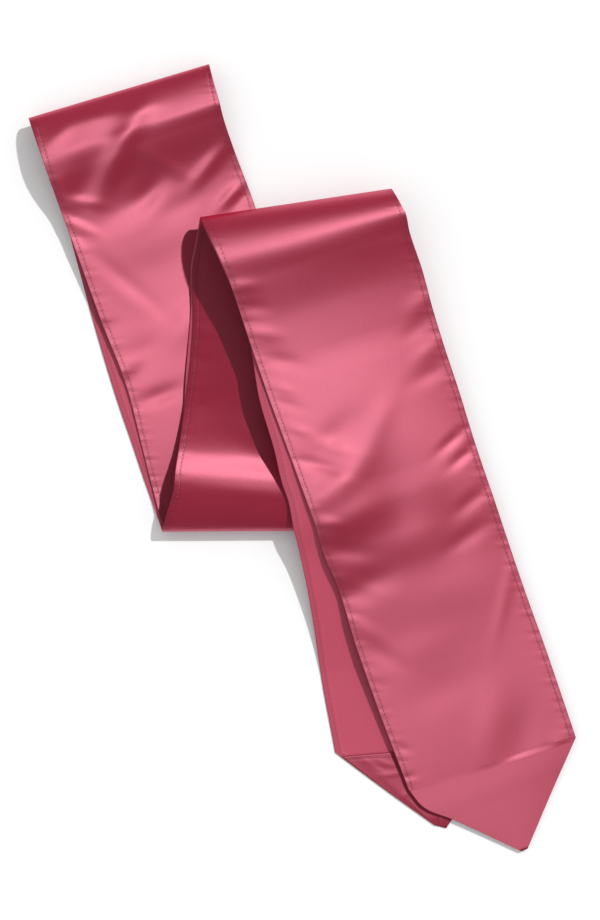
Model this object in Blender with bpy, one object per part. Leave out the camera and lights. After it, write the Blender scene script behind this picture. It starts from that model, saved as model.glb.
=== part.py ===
"""Satin sash, folded at its middle and laid in three loose zigzag legs.

The sash is one long strip. From its front pointed end it runs up the right leg,
over the top fold, down under the middle leg, round the low fold, up the upper
leg to the middle fold, and back the same way to its back pointed end. Each
stretch between two folds is one solid wall of cloth, made from a short table of
sections. Tables are in millimetres, the model is in metres, +Z is up and the
sash rests on z = 0.
"""
import math
from collections import namedtuple

import bmesh
import bpy
from mathutils import Matrix, Vector

MM = 0.001
WALL = 1.0
SEAM_GAP = 0.3
FLOOR_LAYER = WALL / 2

# The mesh of a wall: cells across the strip, longest cell along it, and
# cells in each quarter of a fold's rounded loop.
CELLS_ACROSS = 8
LONGEST_CELL = 15.0
CELLS_PER_QUARTER = 7

# The facing is the turned back of the pointed end. Its upper edge dips in the
# middle, where its two halves meet at the seam.
FACING_INSET = 0.06
FACING_DIP = 0.13
FACING_CELLS_ALONG = 5

SATIN_COLOUR = (0.552, 0.102, 0.162, 1.0)
REVERSE_COLOUR = (0.491, 0.089, 0.144, 1.0)
SATIN_ROUGHNESS = 0.38
REVERSE_ROUGHNESS = 0.6

# A section crosses the strip from its left edge to its right edge, with the
# height of the cloth's middle surface at the left edge, the middle and the right.
Section = namedtuple("Section", "left_x left_y right_x right_y z_left z_mid z_right")

# The outermost line of each fold, where the cloth stands upright.
MIDDLE_FOLD = Section(-225.6, 280.3, -76.7, 324.8, 12.5, 12.5, 12.5)
LOW_FOLD_OUTER = Section(-115.5, -60.7, 39, -59.7, 10, 10, 10)
LOW_FOLD_INNER = Section(-115, -58.2, 38.5, -57.2, 10, 10, 10)
TOP_FOLD_OUTER = Section(-84, 198, 73.5, 221.5, 21, 21, 21)
TOP_FOLD_INNER = Section(-83.5, 195.5, 73, 219, 20, 20, 20)

# Each pointed end narrows from its last section through these to a blunt tip.
FRONT_POINT = (
    Section(99.2, -288, 221, -243.5, 4.3, 5.3, 4.7),
    Section(125.6, -299.4, 210.4, -267.4, 4, 4.6, 4),
    Section(181.2, -325.4, 186.7, -323.4, 3, 3, 3),
)
BACK_POINT = (
    Section(74.5, -279, 145, -266.5, FLOOR_LAYER, FLOOR_LAYER, FLOOR_LAYER),
    Section(109.5, -304, 119.5, -306.5, FLOOR_LAYER, FLOOR_LAYER, FLOOR_LAYER),
)

FRONT_END = (
    Section(-68, 164, 84, 202, 38.5, 38.5, 36.5),
    Section(-58, 140, 88, 186, 35, 34.5, 31.5),
    Section(-46, 104, 99, 154, 28.1, 26.6, 23),
    Section(-36, 74, 107.5, 123, 26.5, 24.5, 19.5),
    Section(-27, 48, 115.5, 97, 26.5, 24.5, 17.5),
    Section(-12, 7, 129.5, 55, 26.5, 24, 14.5),
    Section(3, -34, 142.5, 13, 26.5, 23.5, 12),
    Section(10, -53, 148.5, -5, 25, 22.5, 11),
    Section(19, -82, 158.5, -34, 19.5, 17, 10),
    Section(28, -103, 165.5, -55, 15.5, 14.5, 9),
    Section(45, -157, 183.5, -108, 9, 10.5, 8),
    Section(63, -208, 201.5, -158, 6.5, 8, 6.5),
    Section(88.2, -274.5, 226.4, -231, 4.5, 5.5, 5),
)

BACK_END = (
    Section(-68, 162, 78, 197, 36, 36, 33),
    Section(-56, 136, 83, 179, 32, 31, 27),
    Section(-44, 100, 97, 139, 25.5, 24, 19),
    Section(-35, 48, 113.5, 83, 24.5, 22, 12.5),
    Section(-23, 7, 128, 39, 24.5, 21.5, 9),
    Section(-16, -22, 135, 9, 24, 21.5, 7),
    Section(-11.5, -35, 140, -5, 23.5, 21.5, 6.5),
    Section(-7, -58, 145, -28, 21.5, 19.5, 5),
    Section(-2, -79, 150, -49, 16, 13, 3.5),
    Section(5, -112, 157, -81, 10, 7, 2),
    Section(10.5, -145, 162, -113, 4.5, 3, 1),
    Section(15.5, -179, 166, -147, FLOOR_LAYER, FLOOR_LAYER, FLOOR_LAYER),
    Section(27.5, -244, 179, -213, FLOOR_LAYER, FLOOR_LAYER, FLOOR_LAYER),
)

MIDDLE_LEG = (
    Section(-90, 162, 64, 173, 7, 6, 3.7),
    Section(-90, 114, 64, 106, 5.8, 5.2, 3.7),
    Section(-94, 65, 59, 51, 5.6, 5.4, 4.8),
    Section(-98, 36, 55, 22, 6.2, 6.2, 5.8),
    Section(-102, 7, 52, -4, 10.5, 10.5, 10),
    Section(-105, -16, 49, -25, 19.2, 19.2, 18.4),
    Section(-106, -29, 48, -34, 21, 21, 20),
)

MIDDLE_LEG_UNDER = (
    Section(-91, 165, 63, 176, 5.4, 4.4, 2),
    Section(-92, 122, 61, 114, 4.3, 3.6, 2),
    Section(-96, 71, 58, 58, 4, 3.8, 3.2),
    Section(-98, 38, 55, 25, 4.5, 4.5, 4.1),
    Section(-102, 7, 52, -3, 8.5, 8.5, 8),
    Section(-105, -15, 49, -23, 17, 17, 16.2),
    Section(-106, -27, 48, -33, 19.2, 19.2, 18.2),
)

UPPER_LEG = (
    Section(-213.5, 246, -68, 293, 23.5, 23.5, 22),
    Section(-208.5, 231, -65, 281, 21, 20.5, 18),
    Section(-200.5, 208, -57, 257, 14, 12, 9),
    Section(-185.5, 167, -42, 217, 9.5, 6, 3),
    Section(-166.5, 114, -23, 161, 5.5, 3, 2),
    Section(-145, 58, 1, 97, 2.8, 2.2, 2),
    Section(-134, 15, 14, 44, 2, 2, 2),
    Section(-126, -17, 24, -1, 2, 2, 2),
)

UPPER_LEG_UNDER = (
    Section(-214, 251, -70, 292, FLOOR_LAYER, FLOOR_LAYER, FLOOR_LAYER),
    Section(-199, 209, -56, 247, FLOOR_LAYER, FLOOR_LAYER, FLOOR_LAYER),
    Section(-188.5, 170, -43, 208, FLOOR_LAYER, FLOOR_LAYER, FLOOR_LAYER),
    Section(-173.5, 115, -24, 154, FLOOR_LAYER, FLOOR_LAYER, FLOOR_LAYER),
    Section(-151, 41, -1, 79, FLOOR_LAYER, FLOOR_LAYER, FLOOR_LAYER),
    Section(-142, 15, 10, 44, FLOOR_LAYER, FLOOR_LAYER, FLOOR_LAYER),
    Section(-127, -29, 27, -18, FLOOR_LAYER, FLOOR_LAYER, FLOOR_LAYER),
)

# One row for each stretch of the strip: its sections, what it starts from and
# what it ends at. A stretch rises from a fold line or falls from it, and an end
# of the strip narrows to its point.
Stretch = namedtuple("Stretch", "name sections start end reverse_up")
STRETCHES = (
    Stretch("upper_leg_under", UPPER_LEG_UNDER, MIDDLE_FOLD, LOW_FOLD_OUTER, True),
    Stretch("upper_leg", UPPER_LEG, MIDDLE_FOLD, LOW_FOLD_INNER, False),
    Stretch("middle_leg_under", MIDDLE_LEG_UNDER, TOP_FOLD_OUTER, LOW_FOLD_INNER, True),
    Stretch("middle_leg", MIDDLE_LEG, TOP_FOLD_INNER, LOW_FOLD_OUTER, False),
    Stretch("back_end", BACK_END, TOP_FOLD_INNER, BACK_POINT, True),
    Stretch("front_end", FRONT_END, TOP_FOLD_OUTER, FRONT_POINT, False),
)
POINTS = (FRONT_POINT, BACK_POINT)


def section_points(section):
    """Left, middle and right points of a section."""
    left = Vector((section.left_x, section.left_y, section.z_left))
    right = Vector((section.right_x, section.right_y, section.z_right))
    middle = (left + right) / 2
    middle.z = section.z_mid
    return left, middle, right


def fold_quarter(fold, section):
    """Sections of the rounded quarter loop from a fold line to the stretch beside it."""
    rises = section.z_mid > fold.z_mid
    seam = Vector((0, 0, SEAM_GAP / 2 if rises else -SEAM_GAP / 2))
    quarter = []
    for step in range(CELLS_PER_QUARTER):
        angle = math.pi / 2 * step / CELLS_PER_QUARTER
        row = []
        for line, reach in zip(section_points(fold), section_points(section)):
            line = line + seam
            point = line.lerp(reach, 1 - math.cos(angle))
            point.z = line.z + (reach.z - line.z) * math.sin(angle)
            row.append(point)
        quarter.append(row)
    return quarter


def tangents(points):
    """Slopes of a smooth curve through points, for steps of unequal length."""
    spans = [(b - a).length for a, b in zip(points, points[1:])]
    chords = [(b - a) / span for a, b, span in zip(points, points[1:], spans)]
    inner = [
        (before * span_after + after * span_before) / (span_before + span_after)
        for before, after, span_before, span_after in zip(chords, chords[1:], spans, spans[1:])
    ]
    return [chords[0], *inner, chords[-1]]


def curve_point(start, end, leaving, arriving, share):
    """Point of the smooth curve between two of its points."""
    span = (end - start).length
    square, cube = share ** 2, share ** 3
    return (
        start * (2 * cube - 3 * square + 1)
        + leaving * span * (cube - 2 * square + share)
        + end * (3 * square - 2 * cube)
        + arriving * span * (cube - square)
    )


def refine(rows):
    """Adds rows on a smooth curve wherever two rows lie far apart."""
    columns = [list(column) for column in zip(*rows)]
    slopes = [tangents(column) for column in columns]
    fine = []
    for index in range(len(rows) - 1):
        length = (columns[1][index + 1] - columns[1][index]).length
        cells = max(1, math.ceil(length / LONGEST_CELL))
        for cell in range(cells):
            row = [
                curve_point(column[index], column[index + 1], slope[index], slope[index + 1], cell / cells)
                for column, slope in zip(columns, slopes)
            ]
            for point in row:
                point.z = max(point.z, FLOOR_LAYER)
            fine.append(row)
    fine.append(rows[-1])
    return fine


def across(row, share):
    """Point at a share of the way from left to right, on a parabola in height."""
    left, middle, right = row
    point = left.lerp(right, share)
    point.z = (
        left.z * (1 - share) * (1 - 2 * share)
        + middle.z * 4 * share * (1 - share)
        + right.z * share * (2 * share - 1)
    )
    return point


def point_rows(corners, point):
    """Rows of an end's point, from its two corners to its tip."""
    return refine([list(section_points(section)) for section in (corners, *point)])


def stretch_rows(stretch):
    """All rows of a stretch, from its first fold to its last fold or its tip."""
    body = [list(section_points(section)) for section in stretch.sections]
    rows = fold_quarter(stretch.start, stretch.sections[0]) + body
    if stretch.end in POINTS:
        return refine(rows) + point_rows(stretch.sections[-1], stretch.end)[1:]
    last_loop = fold_quarter(stretch.end, stretch.sections[-1])
    return refine(rows + last_loop[::-1])


def surface_grid(rows):
    """Grid of points of the cloth's middle surface."""
    shares = [column / CELLS_ACROSS for column in range(CELLS_ACROSS + 1)]
    return [[across(row, share) for share in shares] for row in rows]


def grid_normals(grid):
    """Direction across the cloth at each point of a grid. At a fold line the cloth is upright."""
    last_row, last_column = len(grid) - 1, len(grid[0]) - 1
    normals = []
    for i, row in enumerate(grid):
        line = []
        for j in range(len(row)):
            along = grid[min(i + 1, last_row)][j] - grid[max(i - 1, 0)][j]
            if i in (0, last_row) and abs(along.z) > along.xy.length:
                along = Vector((0, 0, along.z))
            sideways = row[min(j + 1, last_column)] - row[max(j - 1, 0)]
            line.append(along.cross(sideways).normalized())
        normals.append(line)
    return normals


def wall_mesh(name, grid):
    """Closed wall of even thickness on both sides of a grid."""
    normals = grid_normals(grid)
    body = bmesh.new()
    sides = []
    for offset in (WALL / 2, -WALL / 2):
        sides.append([
            [body.verts.new((point + normal * offset) * MM) for point, normal in zip(row, normal_row)]
            for row, normal_row in zip(grid, normals)
        ])
    upper, lower = sides
    rows, columns = len(grid), len(grid[0])
    for i in range(rows - 1):
        for j in range(columns - 1):
            for side in sides:
                body.faces.new((side[i][j], side[i][j + 1], side[i + 1][j + 1], side[i + 1][j]))
    rim = [(i, 0) for i in range(rows)]
    rim += [(rows - 1, j) for j in range(1, columns)]
    rim += [(i, columns - 1) for i in range(rows - 2, -1, -1)]
    rim += [(0, j) for j in range(columns - 2, 0, -1)]
    for (i, j), (k, m) in zip(rim, rim[1:] + rim[:1]):
        body.faces.new((upper[i][j], upper[k][m], lower[k][m], lower[i][j]))
    bmesh.ops.recalc_face_normals(body, faces=body.faces)
    for face in body.faces:
        face.smooth = True
    mesh = bpy.data.meshes.new(name)
    body.to_mesh(mesh)
    body.free()
    return mesh


def facing_grid():
    """Grid of the turned facing, laid on the flat back of the pointed end."""
    rows = point_rows(BACK_END[-1], BACK_POINT)
    lift = Vector((0, 0, WALL + SEAM_GAP))
    grid = []
    for step in range(FACING_CELLS_ALONG + 1):
        line = []
        for column in range(CELLS_ACROSS + 1):
            share = column / CELLS_ACROSS
            start = FACING_DIP * (1 - abs(2 * share - 1)) + FACING_INSET
            along = start + (1 - FACING_INSET - start) * step / FACING_CELLS_ALONG
            inner = FACING_INSET / 2 + (1 - FACING_INSET) * share
            index = min(int(along * (len(rows) - 1)), len(rows) - 2)
            rest = along * (len(rows) - 1) - index
            line.append(across(rows[index], inner).lerp(across(rows[index + 1], inner), rest) + lift)
        grid.append(line)
    return grid


def satin_material(name, colour, roughness):
    """Plain cloth colour for one piece."""
    material = bpy.data.materials.new(name)
    material.use_nodes = True
    shader = material.node_tree.nodes["Principled BSDF"]
    shader.inputs["Base Color"].default_value = colour
    shader.inputs["Roughness"].default_value = roughness
    shader.inputs["Metallic"].default_value = 0.0
    return material


def add_piece(name, grid, reverse_up):
    """Adds one named solid with its own material to the scene, and returns its mesh."""
    mesh = wall_mesh(name, grid)
    colour = REVERSE_COLOUR if reverse_up else SATIN_COLOUR
    roughness = REVERSE_ROUGHNESS if reverse_up else SATIN_ROUGHNESS
    mesh.materials.append(satin_material(f"{name}_satin", colour, roughness))
    bpy.context.scene.collection.objects.link(bpy.data.objects.new(name, mesh))
    return mesh


def centre_on_origin(meshes):
    """Slides all the meshes so that the middle of their common box lies over the origin."""
    corners = [vertex.co for mesh in meshes for vertex in mesh.vertices]
    middle = Vector((
        (min(corner.x for corner in corners) + max(corner.x for corner in corners)) / 2,
        (min(corner.y for corner in corners) + max(corner.y for corner in corners)) / 2,
        0,
    ))
    for mesh in meshes:
        mesh.transform(Matrix.Translation(-middle))


def clear_scene():
    """Empties the scene of its objects."""
    for item in list(bpy.data.objects):
        bpy.data.objects.remove(item, do_unlink=True)


def main():
    """Builds the sash."""
    clear_scene()
    meshes = [
        add_piece(stretch.name, surface_grid(stretch_rows(stretch)), stretch.reverse_up)
        for stretch in STRETCHES
    ]
    meshes.append(add_piece("back_point_facing", facing_grid(), False))
    centre_on_origin(meshes)


main()
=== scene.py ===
"""Looks of the folded satin sash: two thin halves of one strip, hems, stitching and light.

The tables are in millimetres and repeat the solids' own sections, so the cloth
lies exactly in the walls that stand for it. The scene is in metres, +Z up.
"""
import math
from collections import namedtuple

import bpy
import numpy as np
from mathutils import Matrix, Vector


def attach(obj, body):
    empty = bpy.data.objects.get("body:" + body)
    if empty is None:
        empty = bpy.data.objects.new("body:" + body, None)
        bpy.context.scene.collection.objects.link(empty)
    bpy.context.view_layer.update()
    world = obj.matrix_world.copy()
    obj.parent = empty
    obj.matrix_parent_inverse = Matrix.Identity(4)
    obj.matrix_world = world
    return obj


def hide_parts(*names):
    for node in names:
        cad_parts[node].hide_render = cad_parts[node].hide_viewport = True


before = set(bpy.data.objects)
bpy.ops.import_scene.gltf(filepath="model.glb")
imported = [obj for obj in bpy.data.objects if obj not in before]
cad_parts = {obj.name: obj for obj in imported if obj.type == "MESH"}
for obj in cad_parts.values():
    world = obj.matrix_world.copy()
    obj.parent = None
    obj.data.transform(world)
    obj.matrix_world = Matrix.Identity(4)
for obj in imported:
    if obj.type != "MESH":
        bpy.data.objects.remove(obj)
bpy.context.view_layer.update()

MM = 0.001
FLOOR_LAYER = 0.5
STRIP_WIDTH = 154.0

# The middle of the solids' box, in the tables' coordinates.
TABLE_CENTRE = np.array((0.33, -0.07, 0.0))

# A section crosses the strip from its left edge to its right edge, with the
# height of the cloth's middle surface at the left edge, the middle and the right.
Section = namedtuple("Section", "left_x left_y right_x right_y z_left z_mid z_right")

MIDDLE_FOLD = Section(-225.6, 280.3, -76.7, 324.8, 12.5, 12.5, 12.5)
LOW_FOLD_OUTER = Section(-115.5, -60.7, 39, -59.7, 10, 10, 10)
LOW_FOLD_INNER = Section(-115, -58.2, 38.5, -57.2, 10, 10, 10)
TOP_FOLD_OUTER = Section(-84, 198, 73.5, 221.5, 21, 21, 21)
TOP_FOLD_INNER = Section(-83.5, 195.5, 73, 219, 20, 20, 20)

FRONT_POINT = (
    Section(99.2, -288, 221, -243.5, 4.3, 5.3, 4.7),
    Section(125.6, -299.4, 210.4, -267.4, 4, 4.6, 4),
    Section(181.2, -325.4, 186.7, -323.4, 3, 3, 3),
)
BACK_POINT = (
    Section(74.5, -279, 145, -266.5, FLOOR_LAYER, FLOOR_LAYER, FLOOR_LAYER),
    Section(109.5, -304, 119.5, -306.5, FLOOR_LAYER, FLOOR_LAYER, FLOOR_LAYER),
)

FRONT_END = (
    Section(-68, 164, 84, 202, 38.5, 38.5, 36.5),
    Section(-58, 140, 88, 186, 35, 34.5, 31.5),
    Section(-46, 104, 99, 154, 28.1, 26.6, 23),
    Section(-36, 74, 107.5, 123, 26.5, 24.5, 19.5),
    Section(-27, 48, 115.5, 97, 26.5, 24.5, 17.5),
    Section(-12, 7, 129.5, 55, 26.5, 24, 14.5),
    Section(3, -34, 142.5, 13, 26.5, 23.5, 12),
    Section(10, -53, 148.5, -5, 25, 22.5, 11),
    Section(19, -82, 158.5, -34, 19.5, 17, 10),
    Section(28, -103, 165.5, -55, 15.5, 14.5, 9),
    Section(45, -157, 183.5, -108, 9, 10.5, 8),
    Section(63, -208, 201.5, -158, 6.5, 8, 6.5),
    Section(88.2, -274.5, 226.4, -231, 4.5, 5.5, 5),
)

BACK_END = (
    Section(-68, 162, 78, 197, 36, 36, 33),
    Section(-56, 136, 83, 179, 32, 31, 27),
    Section(-44, 100, 97, 139, 25.5, 24, 19),
    Section(-35, 48, 113.5, 83, 24.5, 22, 12.5),
    Section(-23, 7, 128, 39, 24.5, 21.5, 9),
    Section(-16, -22, 135, 9, 24, 21.5, 7),
    Section(-11.5, -35, 140, -5, 23.5, 21.5, 6.5),
    Section(-7, -58, 145, -28, 21.5, 19.5, 5),
    Section(-2, -79, 150, -49, 16, 13, 3.5),
    Section(5, -112, 157, -81, 10, 7, 2),
    Section(10.5, -145, 162, -113, 4.5, 3, 1),
    Section(15.5, -179, 166, -147, FLOOR_LAYER, FLOOR_LAYER, FLOOR_LAYER),
    Section(27.5, -244, 179, -213, FLOOR_LAYER, FLOOR_LAYER, FLOOR_LAYER),
)

MIDDLE_LEG = (
    Section(-90, 162, 64, 173, 7, 6, 3.7),
    Section(-90, 114, 64, 106, 5.8, 5.2, 3.7),
    Section(-94, 65, 59, 51, 5.6, 5.4, 4.8),
    Section(-98, 36, 55, 22, 6.2, 6.2, 5.8),
    Section(-102, 7, 52, -4, 10.5, 10.5, 10),
    Section(-105, -16, 49, -25, 19.2, 19.2, 18.4),
    Section(-106, -29, 48, -34, 21, 21, 20),
)

MIDDLE_LEG_UNDER = (
    Section(-91, 165, 63, 176, 5.4, 4.4, 2),
    Section(-92, 122, 61, 114, 4.3, 3.6, 2),
    Section(-96, 71, 58, 58, 4, 3.8, 3.2),
    Section(-98, 38, 55, 25, 4.5, 4.5, 4.1),
    Section(-102, 7, 52, -3, 8.5, 8.5, 8),
    Section(-105, -15, 49, -23, 17, 17, 16.2),
    Section(-106, -27, 48, -33, 19.2, 19.2, 18.2),
)

UPPER_LEG = (
    Section(-213.5, 246, -68, 293, 23.5, 23.5, 22),
    Section(-208.5, 231, -65, 281, 21, 20.5, 18),
    Section(-200.5, 208, -57, 257, 14, 12, 9),
    Section(-185.5, 167, -42, 217, 9.5, 6, 3),
    Section(-166.5, 114, -23, 161, 5.5, 3, 2),
    Section(-145, 58, 1, 97, 2.8, 2.2, 2),
    Section(-134, 15, 14, 44, 2, 2, 2),
    Section(-126, -17, 24, -1, 2, 2, 2),
)

UPPER_LEG_UNDER = (
    Section(-214, 251, -70, 292, FLOOR_LAYER, FLOOR_LAYER, FLOOR_LAYER),
    Section(-199, 209, -56, 247, FLOOR_LAYER, FLOOR_LAYER, FLOOR_LAYER),
    Section(-188.5, 170, -43, 208, FLOOR_LAYER, FLOOR_LAYER, FLOOR_LAYER),
    Section(-173.5, 115, -24, 154, FLOOR_LAYER, FLOOR_LAYER, FLOOR_LAYER),
    Section(-151, 41, -1, 79, FLOOR_LAYER, FLOOR_LAYER, FLOOR_LAYER),
    Section(-142, 15, 10, 44, FLOOR_LAYER, FLOOR_LAYER, FLOOR_LAYER),
    Section(-127, -29, 27, -18, FLOOR_LAYER, FLOOR_LAYER, FLOOR_LAYER),
)

# A crease is a soft ridge, or a trough where its height is negative. It is
# placed by its middle and turned by the direction of its line.
Crease = namedtuple("Crease", "x y turn length width height")
FRONT_END_CREASES = (
    Crease(14, -6, -16, 20, 5, -1),
    Crease(25, 9, -18, 17, 5.8, 0.7),
    Crease(39, -16, 52, 33, 11.6, 1),
    Crease(23, -54, -15, 12, 5, 1),
    Crease(48, -105, -23, 18, 5.8, 0.5),
    Crease(35, -76, -10, 22, 7.5, -1.2),
    Crease(41, -128, -20, 12, 4.1, -0.35),
    Crease(53, -142, -35, 18, 5.8, 0.5),
    Crease(69, -164, -35, 18, 6.6, -0.5),
    Crease(13, -35, 40, 22, 9.9, 0.9),
    Crease(118, -109, 20, 50, 24.8, 0.8),
    Crease(11, 171, 9, 99, 10.8, 0.7),
    Crease(27, 123, 18, 108, 31.5, 1.5),
    Crease(63, 28, 65, 23, 9.1, 0.5),
    Crease(25, 16, 45, 25, 11.6, -0.8),
    Crease(77, -28, -70, 41, 21.5, -2.4),
    Crease(146, -39, -70, 51, 23.2, 2.2),
    Crease(93, -61, 28, 36, 23.2, 2.2),
    Crease(48, -107, 25, 30, 12.4, -1.8),
    Crease(39, -51, 25, 22, 11.6, 0.8),
    Crease(-49, 141, 0, 12, 5, 0.8),
    Crease(-40, 124, -10, 12, 5, -0.7),
    Crease(-33, 102, -10, 15, 5.8, 0.8),
    Crease(-16, 80, -15, 17, 5.8, -0.7),
    Crease(-16, 57, -18, 10, 3.3, 0.4),
    Crease(-11, 44, -18, 12, 3.3, -0.5),
    Crease(-3, 23, -22, 10, 3.3, 0.5),
    Crease(98, 128, 40, 13, 7.5, 0.5),
    Crease(95, 107, 40, 13, 6.6, -0.35),
    Crease(105, 89, 40, 15, 6.6, 0.45),
    Crease(106, 70, 30, 18, 6.6, -0.4),
    Crease(123, 14, 42, 15, 4.1, -0.6),
    Crease(132, 1, 42, 13, 4.1, -0.6),
    Crease(140, -35, 40, 17, 5.8, -0.6),
    Crease(138, -64, 35, 20, 6.6, -0.6),
    Crease(167, -117, 78, 35, 5, 0.3),
    Crease(61, -180, -10, 6, 2.1, 0.15),
    Crease(65, -188, -10, 6, 2.1, -0.15),
    Crease(156, -220, 85, 31, 13.3, 0.6),
    Crease(183, -230, 85, 28, 13.3, -0.6),
    Crease(115, -191, 25, 33, 14.9, -0.35),
    Crease(97, -158, 25, 41, 14.9, 0.4),
    Crease(84, -240, -30, 6, 2.5, -0.35),
    Crease(89, -263, 10, 5, 2.1, -0.3),
    Crease(160, -260, 23.5, 65, 2.1, 0.12),
    Crease(196, -273, 65, 43, 7.5, 0.8),
    Crease(205, -238, 12, 7, 1.7, -0.25),
    Crease(209, -244, 18, 7, 1.7, -0.25),
)
MIDDLE_LEG_CREASES = (
    Crease(-14, 2, -8, 38, 14.9, -1),
    Crease(-63, -26, -7, 75, 9.1, 0.6),
    Crease(-59, -44, -8, 50, 7.5, 0.5),
    Crease(-72, 48, 40, 25, 9.9, -0.9),
    Crease(-33, 15, -40, 25, 9.9, 0.7),
    Crease(-87, 60, 0, 7, 2.5, 0.2),
    Crease(-84, 44, -10, 7, 2.5, -0.2),
    Crease(-80, 105, -20, 10, 4.1, 0.4),
    Crease(-84, 81, -15, 10, 4.1, -0.4),
)
UPPER_LEG_CREASES = (
    Crease(-150, 252, 64, 38, 9.1, 2.2),
    Crease(-201, 265, 43, 15, 6.6, 0.7),
    Crease(-173, 280, 14, 25, 8.3, 1.3),
    Crease(-137, 285, 20, 22, 7.5, 0.8),
    Crease(-179, 230, 60, 18, 11.6, -1.4),
    Crease(-76, 243, 50, 22, 6.2, 1.5),
    Crease(-114, 243, -30, 22, 5, 0.9),
    Crease(-125, 221, 60, 17, 8.3, -0.8),
    Crease(-60, 216, 48, 15, 5, 1.1),
    Crease(-49, 216, 48, 10, 5, -0.6),
    Crease(-180, 211, -8, 15, 4.1, 1),
    Crease(-184, 198, -30, 13, 5, -1.1),
    Crease(-184, 183, -30, 10, 4.1, -0.8),
    Crease(-179, 190, -30, 12, 3.3, 0.6),
    Crease(-133, 216, 35, 28, 9.9, -0.9),
    Crease(-129, 197, 30, 36, 11.6, 0.4),
    Crease(-125, 178, 20, 41, 16.6, 0.8),
    Crease(-148, 149, -40, 40, 5.8, -0.6),
    Crease(-151, 137, -40, 28, 6.6, 0.3),
    Crease(-105, 105, 40, 30, 13.3, 1.2),
    Crease(-125, 89, 45, 28, 11.6, -1.2),
    Crease(-146, 74, 30, 22, 7.5, 0.9),
    Crease(-117, 52, 20, 20, 6.6, -0.9),
    Crease(-166, 105, 20, 12, 6.6, -0.7),
    Crease(-102, 208, 30, 22, 9.9, -0.6),
)

# The cloth of the shown pieces, and the cells of their grids. Both hems have
# their own columns, with more of them at the stitch line.
CLOTH = 0.45
SHOWN_CELL = 2.0
HIDDEN_CELL = 5.0
QUARTER_CELLS = 12
HEM_COLUMNS = (0.0, 0.6, 1.5, 2.6, 3.4, 4.0, 4.6, 5.4, 6.2, 7.6, 9.6, 12.0)
OPEN_COLUMN = 2.7

# A hem is folded to the reverse and held by one row of stitches.
HEM_WIDTH = 5.5
HEM_DEPTH = 0.3
HEM_STEP = 0.8
STITCH_LINE = 4.0
STITCH_GROOVE = 0.14
GROOVE_WIDTH = 0.45

# The hem's own thread draws its edge up in small puckers.
PUCKER_REACH = 9.0
PUCKER_HEIGHT = 0.16
PUCKER_PITCHES = (11.3, 7.1, 4.7)
PUCKER_SHIFT = 2.0

# Rows narrower than this share of the strip belong to a point.
POINT_STARTS = 0.93

# The facing is the end of the strip turned to the back of the point. Its upper
# edge is a hem that dips at the seam from its middle to the tip.
FACING_ROWS = 44
FACING_COLUMNS = 72
FACING_START = 0.05
FACING_DIP = 0.12
FACING_LIFT = 0.5
FACING_PUFF = 0.6
FACING_EDGE = 0.12
FACING_SEAM = 0.3
SEAM_WIDTH = 0.9
FACING_CREASES = (
    Crease(56, -252, -25, 7, 1.6, 0.2),
    Crease(63, -255, -28, 8, 1.5, -0.2),
    Crease(70, -253, -20, 7, 1.8, 0.22),
    Crease(74, -262, 8, 12, 2, 0.2),
    Crease(92, -275, 30, 12, 2.2, 0.2),
    Crease(112, -295, -40, 7, 1.6, 0.2),
)


def section_points(section):
    """Left, middle and right points of a section, as rows of an array."""
    left = np.array((section.left_x, section.left_y, section.z_left), float)
    right = np.array((section.right_x, section.right_y, section.z_right), float)
    middle = (left + right) / 2
    middle[2] = section.z_mid
    return np.array((left, middle, right))


def fold_quarter(fold, section):
    """Rounded quarter loop from a fold line to the stretch beside it, without that stretch."""
    line, reach = section_points(fold), section_points(section)
    quarter = []
    for step in range(QUARTER_CELLS):
        angle = math.pi / 2 * step / QUARTER_CELLS
        row = line + (reach - line) * (1 - math.cos(angle))
        row[:, 2] = line[:, 2] + (reach[:, 2] - line[:, 2]) * math.sin(angle)
        quarter.append(row)
    return quarter


def refine(rows, cell):
    """Rows on a smooth curve through the given rows, about one cell apart."""
    knots = np.array(rows)
    steps = knots[1:] - knots[:-1]
    spans = np.linalg.norm(steps, axis=2, keepdims=True)
    chords = steps / spans
    slopes = np.empty_like(knots)
    slopes[0], slopes[-1] = chords[0], chords[-1]
    slopes[1:-1] = (chords[:-1] * spans[1:] + chords[1:] * spans[:-1]) / (spans[1:] + spans[:-1])
    fine = []
    for index in range(len(steps)):
        cells = max(1, math.ceil(spans[index, 1, 0] / cell))
        for share in np.arange(cells) / cells:
            square, cube = share ** 2, share ** 3
            fine.append(
                knots[index] * (2 * cube - 3 * square + 1)
                + slopes[index] * spans[index] * (cube - 2 * square + share)
                + knots[index + 1] * (3 * square - 2 * cube)
                + slopes[index + 1] * spans[index] * (cube - square)
            )
    fine.append(knots[-1])
    fine = np.array(fine)
    fine[:, :, 2] = np.maximum(fine[:, :, 2], FLOOR_LAYER)
    return fine


def column_shares():
    """Shares of the way across the strip, dense over both hems."""
    inner = STRIP_WIDTH - 2 * HEM_COLUMNS[-1]
    cells = round(inner / OPEN_COLUMN)
    open_part = HEM_COLUMNS[-1] + inner * np.arange(1, cells) / cells
    left = np.array(HEM_COLUMNS)
    return np.concatenate((left, open_part, STRIP_WIDTH - left[::-1])) / STRIP_WIDTH


def across(rows, shares):
    """Grid of points from left to right, on a parabola in height."""
    left, middle, right = (rows[:, index, None, :] for index in range(3))
    share = shares[None, :, None]
    grid = left * (1 - share) + right * share
    grid[:, :, 2:] = (
        left[..., 2:] * (1 - share) * (1 - 2 * share)
        + middle[..., 2:] * 4 * share * (1 - share)
        + right[..., 2:] * share * (2 * share - 1)
    )
    return grid


def face_normals(grid):
    """Direction of the satin face at each point of a grid."""
    along, sideways = np.gradient(grid, axis=0), np.gradient(grid, axis=1)
    normals = np.cross(sideways, along)
    return normals / np.linalg.norm(normals, axis=2, keepdims=True)


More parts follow.
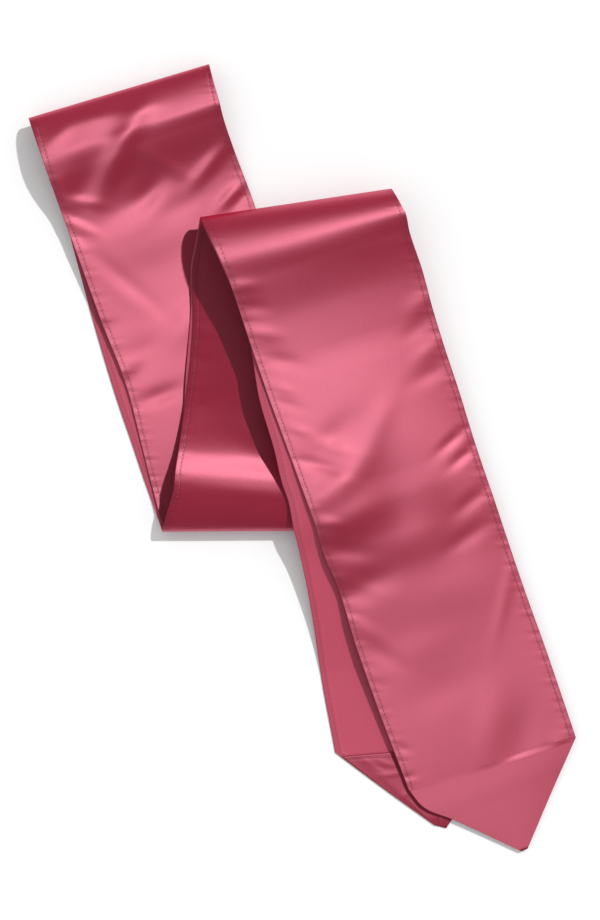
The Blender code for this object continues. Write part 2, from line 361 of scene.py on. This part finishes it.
def crease_lift(grid, creases):
    """Height that the creases add at each point of a grid."""
    lift = np.zeros(grid.shape[:2])
    for crease in creases:
        turn = math.radians(crease.turn)
        x, y = grid[:, :, 0] - crease.x, grid[:, :, 1] - crease.y
        along = (x * math.cos(turn) + y * math.sin(turn)) / crease.length
        beside = (y * math.cos(turn) - x * math.sin(turn)) / crease.width
        lift += crease.height * np.exp(-along ** 2 - beside ** 2)
    return lift


def pucker_lift(grid, shares):
    """Small uneven waves along both hems, fading towards the middle of the strip."""
    edge = np.minimum(shares, 1 - shares)[None, :] * STRIP_WIDTH
    side = np.where(shares < 0.5, 0.0, PUCKER_SHIFT)[None, :]
    run = grid[:, :, 1]
    waves = sum(np.sin(2 * math.pi * run / pitch + side * pitch) for pitch in PUCKER_PITCHES)
    return PUCKER_HEIGHT * waves * np.exp(-(edge / PUCKER_REACH) ** 2) / len(PUCKER_PITCHES)


def stretch_grid(rows, cell, shares, creases=()):
    """Grid of one stretch, with its creases."""
    grid = across(refine(rows, cell), shares)
    grid[:, :, 2] += crease_lift(grid, creases)
    if creases:
        grid[:, :, 2] += pucker_lift(grid, shares)
    return grid


def body_rows(sections):
    """Rows of a stretch's own sections."""
    return [section_points(section) for section in sections]


def front_half_grid(shares):
    """The outer half of the doubled strip, from the front tip to the middle fold."""
    point = refine(body_rows((*FRONT_POINT[::-1], FRONT_END[-1])), SHOWN_CELL)
    point = across(point, shares)
    end = body_rows(FRONT_END[::-1]) + fold_quarter(TOP_FOLD_OUTER, FRONT_END[0])[::-1]
    under = fold_quarter(TOP_FOLD_OUTER, MIDDLE_LEG_UNDER[0]) + body_rows(MIDDLE_LEG_UNDER)
    under += fold_quarter(LOW_FOLD_INNER, MIDDLE_LEG_UNDER[-1])[::-1]
    upper = fold_quarter(LOW_FOLD_INNER, UPPER_LEG[-1]) + body_rows(UPPER_LEG[::-1])
    upper += fold_quarter(MIDDLE_FOLD, UPPER_LEG[0])[::-1]
    return np.concatenate((
        point[:-1],
        stretch_grid(end, SHOWN_CELL, shares, FRONT_END_CREASES)[:-1],
        stretch_grid(under, HIDDEN_CELL, shares, MIDDLE_LEG_CREASES)[:-1],
        stretch_grid(upper, SHOWN_CELL, shares, UPPER_LEG_CREASES),
    ))


def back_half_grid(shares):
    """The inner half of the doubled strip, from the middle fold to the back tip."""
    upper = fold_quarter(MIDDLE_FOLD, UPPER_LEG_UNDER[0]) + body_rows(UPPER_LEG_UNDER)
    upper += fold_quarter(LOW_FOLD_OUTER, UPPER_LEG_UNDER[-1])[::-1]
    middle = fold_quarter(LOW_FOLD_OUTER, MIDDLE_LEG[-1]) + body_rows(MIDDLE_LEG[::-1])
    middle += fold_quarter(TOP_FOLD_INNER, MIDDLE_LEG[0])[::-1]
    end = fold_quarter(TOP_FOLD_INNER, BACK_END[0]) + body_rows(BACK_END)
    point = refine(body_rows((BACK_END[-1], *BACK_POINT)), SHOWN_CELL)
    return np.concatenate((
        stretch_grid(upper, HIDDEN_CELL, shares)[:-1],
        stretch_grid(middle, SHOWN_CELL, shares, MIDDLE_LEG_CREASES)[:-1],
        stretch_grid(end, SHOWN_CELL, shares)[:-1],
        across(point, shares),
    ))


def smooth_step(value):
    """Soft change from 0 to 1 as a value goes from 0 to 1."""
    value = np.clip(value, 0, 1)
    return value * value * (3 - 2 * value)


def strip_places(grid, shares):
    """Millimetres across and along the flat strip at each point of a grid."""
    widths = np.linalg.norm(grid[:, -1] - grid[:, 0], axis=1)
    widths = np.where(widths < POINT_STARTS * STRIP_WIDTH, widths, STRIP_WIDTH)
    middle = grid[:, grid.shape[1] // 2]
    along = np.concatenate(((0,), np.cumsum(np.linalg.norm(np.diff(middle, axis=0), axis=1))))
    sideways = STRIP_WIDTH / 2 + (shares[None, :] - 0.5) * widths[:, None]
    return np.stack(np.broadcast_arrays(sideways, along[:, None]), axis=-1)


def hem_shape(edge):
    """Depth of the turned hem, and of the stitch line's groove, at distances from the edge."""
    hem = HEM_DEPTH * smooth_step((HEM_WIDTH + HEM_STEP / 2 - edge) / HEM_STEP)
    groove = STITCH_GROOVE * np.exp(-((edge - STITCH_LINE) / GROOVE_WIDTH) ** 2)
    return hem, groove


def shell_mesh(name, grid, places, edge):
    """Closed thin shell: satin face, reverse with its turned hems, and rim."""
    normals = face_normals(grid)
    hem, groove = (depth[:, :, None] for depth in hem_shape(edge))
    face = grid + normals * (CLOTH / 2 - groove)
    reverse = grid - normals * (CLOTH / 2 + hem - groove)
    rows, columns = grid.shape[:2]
    points = np.concatenate((face.reshape(-1, 3), reverse.reshape(-1, 3)))
    points = (points - TABLE_CENTRE) * MM
    points[:, 2] = np.maximum(points[:, 2], 0)
    index = np.arange(rows * columns).reshape(rows, columns)
    corners = (index[:-1, :-1], index[:-1, 1:], index[1:, 1:], index[1:, :-1])
    face_quads = np.stack(corners, axis=-1)
    reverse_quads = face_quads[..., ::-1] + rows * columns
    ring = np.concatenate((index[:, 0], index[-1, 1:], index[-2::-1, -1], index[0, -2:0:-1]))
    after = np.roll(ring, -1)
    rim_quads = np.stack((ring, after, after + rows * columns, ring + rows * columns), axis=-1)
    quads = np.concatenate((face_quads.reshape(-1, 4), reverse_quads.reshape(-1, 4), rim_quads))
    mesh = bpy.data.meshes.new(name)
    mesh.from_pydata(points.tolist(), [], quads.tolist())
    add_cloth_coordinates(mesh, places)
    faces_per_side = (rows - 1) * (columns - 1)
    slots = np.zeros(len(quads), int)
    slots[faces_per_side:2 * faces_per_side] = 1
    mesh.polygons.foreach_set("material_index", slots)
    mesh.polygons.foreach_set("use_smooth", np.ones(len(quads), bool))
    mesh.update()
    return mesh


def add_cloth_coordinates(mesh, places):
    """Metres across and along the strip, for the cloth's own patterns."""
    places = np.concatenate((places.reshape(-1, 2),) * 2) * MM
    corners = np.empty(len(mesh.loops), int)
    mesh.loops.foreach_get("vertex_index", corners)
    layer = mesh.uv_layers.new(name="cloth")
    layer.uv.foreach_set("vector", places[corners].ravel())


def strip_mesh(name, grid, shares):
    """Shell of one half of the strip."""
    places = strip_places(grid, shares)
    sideways = places[:, :, 0]
    return shell_mesh(name, grid, places, np.minimum(sideways, STRIP_WIDTH - sideways))


def facing_mesh(name):
    """Shell of the turned facing, on the back of the point that lies reverse up."""
    point = refine(body_rows((BACK_END[-1], *BACK_POINT)), SHOWN_CELL)
    share = np.linspace(0, 1, FACING_COLUMNS + 1)
    surface = across(point, share)
    dip = FACING_START + FACING_DIP * (1 - np.abs(2 * share - 1))
    steps = np.linspace(0, 1, FACING_ROWS + 1)[:, None]
    row = (dip + (1 - dip) * steps) * (len(point) - 1)
    lower = np.minimum(row.astype(int), len(point) - 2)
    column = np.arange(len(share))[None, :]
    rest = (row - lower)[:, :, None]
    grid = surface[lower, column] * (1 - rest) + surface[lower + 1, column] * rest
    roll = np.minimum(np.minimum(share, 1 - share)[None, :], 1 - steps) / FACING_EDGE
    grid[:, :, 2] += FACING_LIFT + FACING_PUFF * smooth_step(roll) + crease_lift(grid, FACING_CREASES)
    centre = grid[:, FACING_COLUMNS // 2]
    away = np.linalg.norm(grid - centre[:, None], axis=2)
    grid[:, :, 2] -= FACING_SEAM * np.exp(-(away / SEAM_WIDTH) ** 2)
    inward = np.linalg.norm(grid - grid[:1], axis=2)
    sideways = np.linalg.norm(grid - grid[:, :1], axis=2)
    return shell_mesh(name, grid[::-1], np.stack((inward, sideways), axis=-1)[::-1], inward[::-1])


def add_object(name, mesh, materials):
    """Adds a piece to the scene."""
    for material in materials:
        mesh.materials.append(material)
    piece = bpy.data.objects.new(name, mesh)
    bpy.context.scene.collection.objects.link(piece)
    return piece


# Materials. Lengths of the patterns are in millimetres on the flat strip.
THREAD_PITCH = 0.42
FLOAT_LENGTH = 1.9
FLOAT_SHIFT = 0.4
FLOAT_DIP = 0.14
GRAIN_SCALE = (1.1, 0.8, 1.0)
SLUB_SCALE = (0.5, 0.045, 1.0)
CLOUD_SCALE = (0.012, 0.008, 1.0)
GRAIN_DETAIL = 3.0
SOFT_DETAIL = 2.0
STITCH_PITCH = 3.3
STITCH_HALF_WIDTH = 0.45
STITCH_FILL = 0.36

# One row for each side of the cloth: two colours that grain and clouds of dye
# mix, range of roughness, metallic share, anisotropy and its turn, index and
# tint of the sheen, heights of weave, grain, slubs and stitches in millimetres.
Side = namedtuple("Side", (
    "name deep light rough_low rough_high metallic anisotropy turn index tint "
    "weave grain slub stitch"
))
FACE_SIDE = Side(
    "satin_face", (0.48, 0.01, 0.044, 1), (0.6, 0.015, 0.06, 1), 0.475, 0.53, 0.4, 0.85, 0.066, 2.2,
    (1, 0.72, 0.9, 1), 0.014, 0.055, 0.04, 0.12,
)
REVERSE_SIDE = Side(
    "satin_reverse", (0.42, 0.038, 0.072, 1), (0.5, 0.052, 0.094, 1), 0.6, 0.7, 0.0, 0.3, 0.0, 1.5,
    (1, 0.7, 0.9, 1), 0.02, 0.06, 0.04, 0.12,
)

# The sheen of the facing and of the back half is turned, to match the photograph.
TURNED_SIDE = FACE_SIDE._replace(name="satin_turned", turn=0.18)
BACK_SIDE = FACE_SIDE._replace(name="satin_back", turn=0.93)

# Painted shade darkens the hem band along both edges, and the needle holes.
# Grain and clouds share in the mix of the two colours.
HEM_PAINTED_SHADE = 0.9
GRAIN_SHARE = 1.2
CLOUD_SHARE = 0.6
SHARE_START = -0.4
HOLE_PAINTED_SHADE = 0.5


class Graph:
    """The node tree of one material, with short ways to add to it."""

    # A mix node's own places for the share and the two colours, and for the result.
    MIX_COLOUR_INPUTS = (0, 6, 7)
    MIX_COLOUR_OUTPUT = 2

    def __init__(self, name):
        self.material = bpy.data.materials.new(name)
        self.material.use_nodes = True
        self.tree = self.material.node_tree
        self.shader = self.tree.nodes["Principled BSDF"]

    def add(self, kind, inputs=(), **settings):
        """Adds a node, with its settings and with values or links for its inputs."""
        node = self.tree.nodes.new(kind)
        for setting, value in settings.items():
            setattr(node, setting, value)
        for socket, value in dict(inputs).items():
            self.feed(node.inputs[socket], value)
        return node

    def feed(self, socket, value):
        """Links an output to a socket, or sets the socket's own value."""
        if isinstance(value, bpy.types.NodeSocket):
            self.tree.links.new(value, socket)
        else:
            socket.default_value = value

    def math(self, operation, *values):
        """Result of one sum."""
        return self.add("ShaderNodeMath", enumerate(values), operation=operation).outputs[0]

    def fall(self, value, start, end):
        """Soft fall from 1 to 0 as a value goes from start to end."""
        inputs = {"Value": value, "From Min": start, "From Max": end, "To Min": 1.0, "To Max": 0.0}
        node = self.add("ShaderNodeMapRange", inputs, interpolation_type="SMOOTHSTEP")
        return node.outputs["Result"]

    def noise(self, place, scale, detail):
        """Even noise around 0.5, with its own scale each way."""
        stretched = self.add("ShaderNodeVectorMath", {0: place, 1: scale}, operation="MULTIPLY")
        inputs = {"Vector": stretched.outputs["Vector"], "Scale": 1.0, "Detail": detail}
        return self.add("ShaderNodeTexNoise", inputs).outputs[0]

    def shade(self, share, colour, shade):
        """Darkens a colour by a shade where the share is 1."""
        dark = self.mix(1.0, colour, (shade, shade, shade, 1), "MULTIPLY")
        return self.mix(share, colour, dark)

    def mix(self, share, first, second, blend="MIX"):
        """Mixes or blends two colours."""
        node = self.add("ShaderNodeMix", data_type="RGBA", blend_type=blend)
        for number, value in zip(self.MIX_COLOUR_INPUTS, (share, first, second)):
            self.feed(node.inputs[number], value)
        return node.outputs[self.MIX_COLOUR_OUTPUT]


def weave_height(graph, across_strip, along_strip):
    """Long satin floats side by side, each shifted from the next and dipping at its ends."""
    thread = graph.math("DIVIDE", across_strip, THREAD_PITCH)
    number = graph.math("FLOOR", thread)
    crown = graph.math("SINE", graph.math("MULTIPLY", graph.math("FRACT", thread), math.pi))
    run = graph.math("DIVIDE", along_strip, FLOAT_LENGTH)
    place = graph.math("FRACT", graph.math("MULTIPLY_ADD", number, FLOAT_SHIFT, run))
    end = graph.math("PINGPONG", place, 0.5)
    return graph.math("SUBTRACT", crown, graph.fall(end, 0.0, FLOAT_DIP))


def stitch_masks(graph, edge, along_strip):
    """Thread of the stitches on top, and the needle holes between them."""
    line = graph.math("ABSOLUTE", graph.math("SUBTRACT", edge, STITCH_LINE))
    row = graph.fall(line, STITCH_HALF_WIDTH / 2, STITCH_HALF_WIDTH)
    place = graph.math("FRACT", graph.math("DIVIDE", along_strip, STITCH_PITCH))
    away = graph.math("ABSOLUTE", graph.math("SUBTRACT", place, 0.5))
    lies = graph.fall(away, STITCH_FILL, 0.5)
    thread = graph.math("MULTIPLY", row, lies)
    hole = graph.math("SUBTRACT", row, thread)
    return thread, hole


def cloth_material(side):
    """One side of the satin: weave, grain, slubs, clouds of dye, stitches and sheen, with painted
    shade on the hems and in the needle holes.
    """
    graph = Graph(side.name)
    metres = graph.add("ShaderNodeUVMap", uv_map="cloth").outputs["UV"]
    scaled = graph.add("ShaderNodeVectorMath", {0: metres, "Scale": 1 / MM}, operation="SCALE")
    place = scaled.outputs["Vector"]
    parts = graph.add("ShaderNodeSeparateXYZ", {"Vector": place}).outputs
    across_strip, along_strip = parts["X"], parts["Y"]
    edge = graph.math("MINIMUM", across_strip, graph.math("SUBTRACT", STRIP_WIDTH, across_strip))
    thread, hole = stitch_masks(graph, edge, along_strip)
    grain = graph.noise(place, GRAIN_SCALE, GRAIN_DETAIL)
    slub = graph.noise(place, SLUB_SCALE, SOFT_DETAIL)
    cloud = graph.noise(place, CLOUD_SCALE, SOFT_DETAIL)

    share = graph.math("MULTIPLY_ADD", cloud, CLOUD_SHARE, SHARE_START)
    share = graph.math("MULTIPLY_ADD", grain, GRAIN_SHARE, share)
    dye_and_painted_shade = graph.mix(share, side.deep, side.light)
    # The hem band along each edge gets painted shade.
    hem = graph.fall(edge, HEM_WIDTH, HEM_WIDTH + HEM_STEP)
    dye_and_painted_shade = graph.shade(hem, dye_and_painted_shade, HEM_PAINTED_SHADE)
    # The needle holes get painted shade.
    dye_and_painted_shade = graph.shade(hole, dye_and_painted_shade, HOLE_PAINTED_SHADE)
    graph.feed(graph.shader.inputs["Base Color"], dye_and_painted_shade)

    span = {"Value": slub, "To Min": side.rough_low, "To Max": side.rough_high}
    rough = graph.add("ShaderNodeMapRange", span)
    graph.feed(graph.shader.inputs["Roughness"], rough.outputs["Result"])

    height = graph.math("MULTIPLY", weave_height(graph, across_strip, along_strip), side.weave)
    height = graph.math("MULTIPLY_ADD", grain, side.grain, height)
    height = graph.math("MULTIPLY_ADD", slub, side.slub, height)
    height = graph.math("MULTIPLY_ADD", thread, side.stitch, height)
    height = graph.math("MULTIPLY_ADD", hole, -side.stitch, height)
    bump = graph.add("ShaderNodeBump", {"Strength": 1.0, "Distance": MM, "Height": height})
    graph.feed(graph.shader.inputs["Normal"], bump.outputs["Normal"])

    tangent = graph.add("ShaderNodeTangent", direction_type="UV_MAP", uv_map="cloth")
    graph.feed(graph.shader.inputs["Tangent"], tangent.outputs["Tangent"])
    fixed = {
        "Metallic": side.metallic, "Anisotropic": side.anisotropy, "Anisotropic Rotation": side.turn,
        "IOR": side.index, "Specular IOR Level": 1.0, "Specular Tint": side.tint,
    }
    for socket, value in fixed.items():
        graph.shader.inputs[socket].default_value = value
    return graph.material


# The set: a white surface, a hard key light from the upper right and even fill.
FLOOR_REACH = 3.0
FLOOR_COLOUR = (0.83, 0.83, 0.83, 1)
FLOOR_ROUGHNESS = 0.9
KEY_FROM = (1.0, 1.0, 1.414)
KEY_STRENGTH = 2.4
KEY_ANGLE = 2.0
FILL_COLOUR = (1, 1, 1, 1)
FILL_STRENGTH = 0.72
CAMERA_PLACE = (-0.002, -0.0016, 3.0)
CAMERA_LENS = 141.7
CAMERA_SENSOR = 36


def add_floor():
    """Plain white surface that the sash lies on."""
    corners = [(x, y, 0) for x, y in ((-1, -1), (1, -1), (1, 1), (-1, 1))]
    mesh = bpy.data.meshes.new("floor")
    mesh.from_pydata([Vector(corner) * FLOOR_REACH for corner in corners], [], [(0, 1, 2, 3)])
    graph = Graph("floor_white")
    graph.shader.inputs["Base Color"].default_value = FLOOR_COLOUR
    graph.shader.inputs["Roughness"].default_value = FLOOR_ROUGHNESS
    add_object("floor", mesh, [graph.material])


def add_light():
    """Key light, and the world's fill, which the satin doesn't mirror."""
    lamp = bpy.data.lights.new("key", "SUN")
    lamp.energy = KEY_STRENGTH
    lamp.angle = math.radians(KEY_ANGLE)
    key = bpy.data.objects.new("key", lamp)
    key.rotation_euler = Vector(KEY_FROM).to_track_quat("Z", "Y").to_euler()
    bpy.context.scene.collection.objects.link(key)
    world = bpy.data.worlds.new("fill")
    world.use_nodes = True
    background = world.node_tree.nodes["Background"]
    background.inputs["Color"].default_value = FILL_COLOUR
    background.inputs["Strength"].default_value = FILL_STRENGTH
    bpy.context.scene.world = world
    world.cycles_visibility.glossy = False


def add_camera():
    """Camera straight above, as in the photograph."""
    camera = bpy.data.cameras.new("camera")
    camera.sensor_fit = "VERTICAL"
    camera.sensor_height = CAMERA_SENSOR
    camera.lens = CAMERA_LENS
    view = bpy.data.objects.new("camera", camera)
    view.location = CAMERA_PLACE
    bpy.context.scene.collection.objects.link(view)
    bpy.context.scene.camera = view


# One row for each shown piece: the nodes it stands for, the cut's width and
# length, its area in square metres, and what it rests on.
Piece = namedtuple("Piece", "name nodes slot flat area rests_on")
PIECES = (
    Piece(
        "front_half", ("front_end", "middle_leg_under", "upper_leg"), "satin_face",
        (0.154, 1.24), 0.183, "floor",
    ),
    Piece(
        "back_half", ("back_end", "middle_leg", "upper_leg_under"), "satin_reverse",
        (0.154, 1.21), 0.179, "floor",
    ),
    Piece("back_facing", ("back_point_facing",), "satin_face", (0.154, 0.077), 0.0059, "back_half"),
)


def main():
    """Dresses the solids and lights them."""
    shares = column_shares()
    meshes = (
        strip_mesh("front_half", front_half_grid(shares), shares),
        strip_mesh("back_half", back_half_grid(shares), shares),
        facing_mesh("back_facing"),
    )
    sides = (FACE_SIDE, BACK_SIDE, TURNED_SIDE, REVERSE_SIDE)
    face, back, turned, reverse = map(cloth_material, sides)
    for piece, mesh, side in zip(PIECES, meshes, (face, back, turned)):
        shown = add_object(piece.name, mesh, [side, reverse])
        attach(shown, "root")
        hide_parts(*piece.nodes)
    add_floor()
    add_light()
    add_camera()
    bpy.context.scene.view_settings.view_transform = "Standard"


main()
